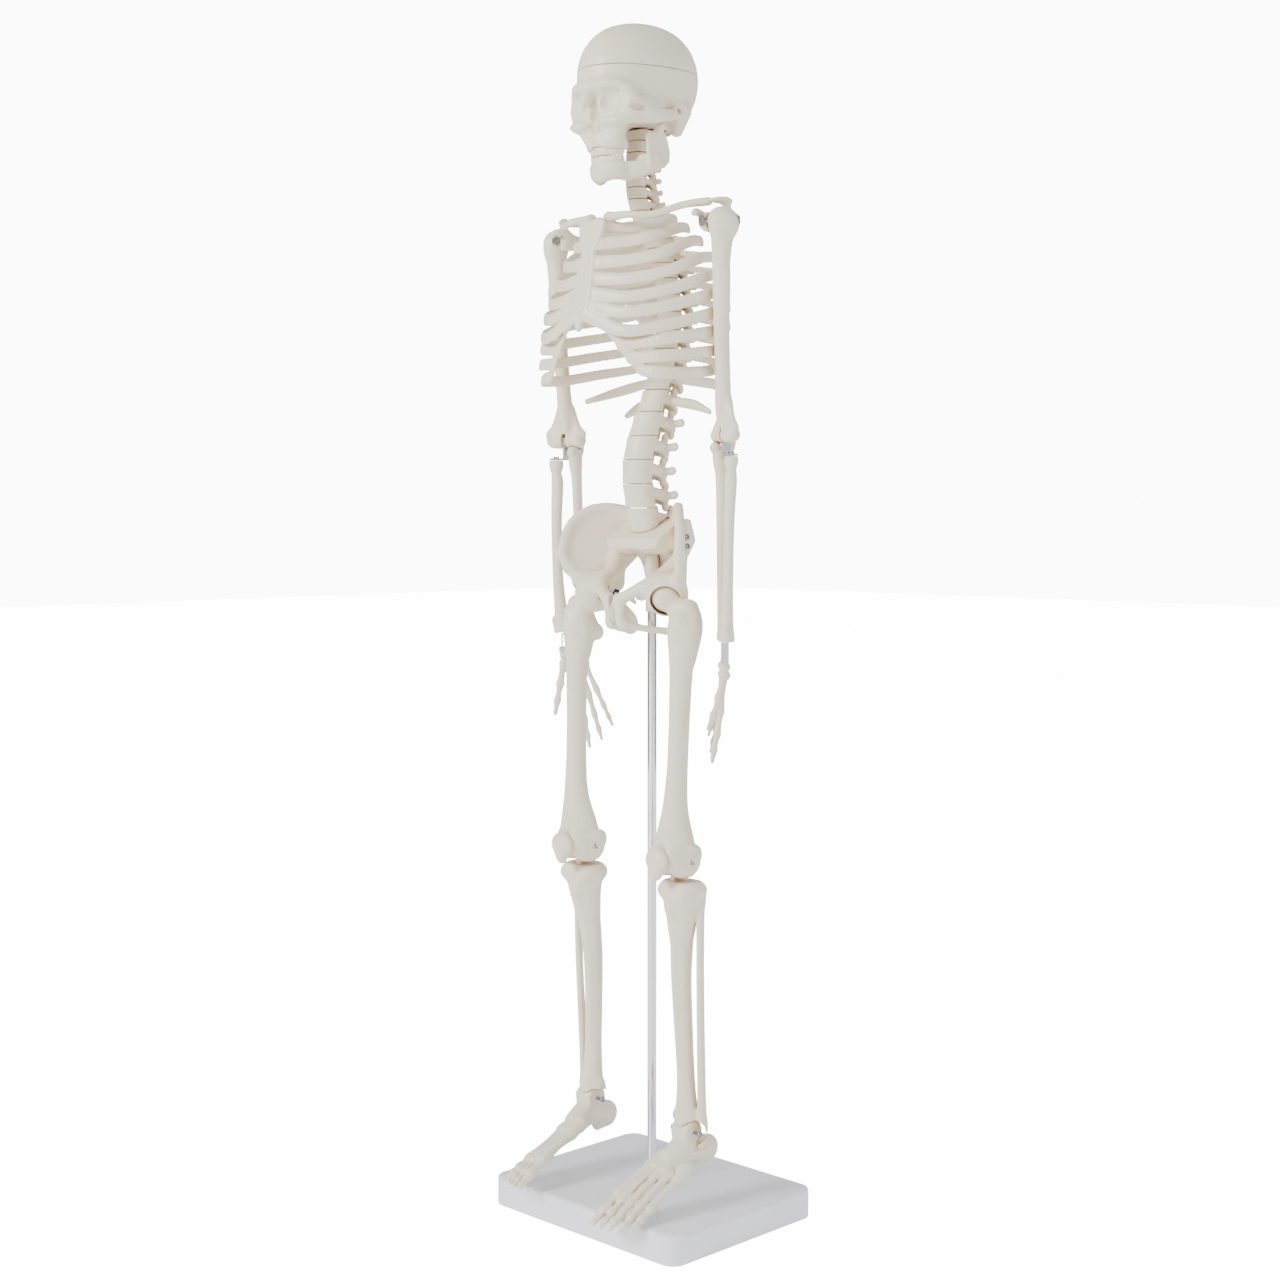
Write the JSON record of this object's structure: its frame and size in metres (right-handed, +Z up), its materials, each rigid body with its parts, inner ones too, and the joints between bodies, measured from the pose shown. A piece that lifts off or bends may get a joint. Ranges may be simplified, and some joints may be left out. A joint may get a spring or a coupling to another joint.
{
  "type": "human skeleton model",
  "caption": "Half-size articulated human skeleton model hanging on a chrome rod that stands in a rectangular white base.",
  "frame": {"origin": "centre of the base's flat underside, under the rod", "axes": "+Z up along the support rod, -Y towards the skeleton's front (its toes), +X towards the skeleton's left hand"},
  "size_m": [0.1862, 0.171, 0.847],
  "materials": {
    "bone_plastic": "satin",
    "rib_plastic": "satin",
    "cartilage_plastic": "satin",
    "base_plastic": "glossy",
    "chrome": "polished",
    "screw_steel": "satin"
  },
  "bodies": {
    "stand": {"base_plate": "base_plastic", "threaded_insert": "screw_steel", "support_rod": "chrome", "rod_cap_nut": "chrome", "sacrum": "bone_plastic", "pubic_symphysis": "cartilage_plastic", "lumbar_vertebra_1": "bone_plastic", "lumbar_vertebra_2": "bone_plastic", "lumbar_vertebra_3": "bone_plastic", "lumbar_vertebra_4": "bone_plastic", "lumbar_vertebra_5": "bone_plastic", "thoracic_vertebrae_1_3": "bone_plastic", "thoracic_vertebrae_4_6": "bone_plastic", "thoracic_vertebrae_7_9": "bone_plastic", "thoracic_vertebrae_10_12": "bone_plastic", "cervical_vertebrae_3_7": "bone_plastic", "cervical_vertebrae_1_2": "bone_plastic", "neck_pin": "screw_steel", "rib_cage": "rib_plastic", "hip_bone_left": "bone_plastic", "sacroiliac_screw_upper_left": "screw_steel", "sacroiliac_screw_lower_left": "screw_steel", "hip_screw_left": "screw_steel", "clavicle_left": "bone_plastic", "scapula_left": "bone_plastic", "shoulder_screw_left": "screw_steel", "hip_bone_right": "bone_plastic", "sacroiliac_screw_upper_right": "screw_steel", "sacroiliac_screw_lower_right": "screw_steel", "hip_screw_right": "screw_steel", "clavicle_right": "bone_plastic", "scapula_right": "bone_plastic", "shoulder_screw_right": "screw_steel"},
    "head": {"skull_base": "bone_plastic"},
    "skull_cap": {"skull_cap": "bone_plastic"},
    "jaw": {"mandible": "bone_plastic"},
    "upper_arm_left": {"humerus_left": "bone_plastic"},
    "forearm_left": {"elbow_bracket_left": "screw_steel", "radius_left": "bone_plastic", "ulna_left": "bone_plastic", "wrist_strap_left": "screw_steel"},
    "hand_left": {"hand_left": "bone_plastic"},
    "thigh_left": {"femur_left": "bone_plastic", "patella_left": "bone_plastic", "knee_pin_left": "screw_steel"},
    "shin_left": {"tibia_and_fibula_left": "bone_plastic", "ankle_pin_left": "screw_steel"},
    "foot_left": {"foot_left": "bone_plastic"},
    "upper_arm_right": {"humerus_right": "bone_plastic"},
    "forearm_right": {"elbow_bracket_right": "screw_steel", "radius_right": "bone_plastic", "ulna_right": "bone_plastic", "wrist_strap_right": "screw_steel"},
    "hand_right": {"hand_right": "bone_plastic"},
    "thigh_right": {"femur_right": "bone_plastic", "patella_right": "bone_plastic", "knee_pin_right": "screw_steel"},
    "shin_right": {"tibia_and_fibula_right": "bone_plastic", "ankle_pin_right": "screw_steel"},
    "foot_right": {"foot_right": "bone_plastic"}
  },
  "joints": [
    {"name": "neck_turn", "type": "hinge", "parent": "stand", "child": "head", "pos_m": [0, -0.015, 0.77], "axis": [0, 0, 1], "range_deg": [-60, 60]},
    {"name": "skull_cap_lift", "type": "slide", "parent": "head", "child": "skull_cap", "axis": [0, 0, 1], "range_m": [0, 0.06]},
    {"name": "jaw_hinge", "type": "hinge", "parent": "head", "child": "jaw", "pos_m": [0, -0.022, 0.772], "axis": [1, 0, 0], "range_deg": [0, 25], "stiffness_Nm_per_rad": 0.01, "springref_deg": -17.19},
    {"name": "shoulder_left", "type": "hinge", "parent": "stand", "child": "upper_arm_left", "pos_m": [0.082, -0.0167, 0.7035], "axis": [-0.7431, -0.6691, 0], "range_deg": [0, 90]},
    {"name": "elbow_left", "type": "hinge", "parent": "upper_arm_left", "child": "forearm_left", "pos_m": [0.08, -0.0095, 0.56], "axis": [-0.9397, 0.342, 0], "range_deg": [0, 80]},
    {"name": "wrist_left", "type": "hinge", "parent": "forearm_left", "child": "hand_left", "pos_m": [0.0766, -0.0066, 0.406], "axis": [-0.7071, 0.7071, 0], "range_deg": [-30, 10]},
    {"name": "hip_left", "type": "hinge", "parent": "stand", "child": "thigh_left", "pos_m": [0.0385, -0.0245, 0.4496], "axis": [-1, 0, 0], "range_deg": [0, 90]},
    {"name": "knee_left", "type": "hinge", "parent": "thigh_left", "child": "shin_left", "pos_m": [0.048, -0.0245, 0.267], "axis": [1, 0, 0], "range_deg": [0, 90]},
    {"name": "ankle_left", "type": "hinge", "parent": "shin_left", "child": "foot_left", "pos_m": [0.0535, -0.0195, 0.0745], "axis": [-1, 0, 0], "range_deg": [0, 30]},
    {"name": "shoulder_right", "type": "hinge", "parent": "stand", "child": "upper_arm_right", "pos_m": [-0.082, -0.0167, 0.7035], "axis": [-0.7431, 0.6691, 0], "range_deg": [0, 90]},
    {"name": "elbow_right", "type": "hinge", "parent": "upper_arm_right", "child": "forearm_right", "pos_m": [-0.08, -0.0095, 0.56], "axis": [-0.9397, -0.342, 0], "range_deg": [0, 80]},
    {"name": "wrist_right", "type": "hinge", "parent": "forearm_right", "child": "hand_right", "pos_m": [-0.0766, -0.0066, 0.406], "axis": [-0.7071, -0.7071, 0], "range_deg": [-30, 10]},
    {"name": "hip_right", "type": "hinge", "parent": "stand", "child": "thigh_right", "pos_m": [-0.0385, -0.0245, 0.4496], "axis": [-1, 0, 0], "range_deg": [0, 90]},
    {"name": "knee_right", "type": "hinge", "parent": "thigh_right", "child": "shin_right", "pos_m": [-0.048, -0.0245, 0.267], "axis": [1, 0, 0], "range_deg": [0, 90]},
    {"name": "ankle_right", "type": "hinge", "parent": "shin_right", "child": "foot_right", "pos_m": [-0.0535, -0.01077, 0.07493], "axis": [-1, 0, 0], "range_deg": [0, 30]}
  ],
  "couplings": [
    {"joint": "knee_left", "follows": "hip_left", "ratio": 1},
    {"joint": "knee_right", "follows": "hip_right", "ratio": 1}
  ]
}
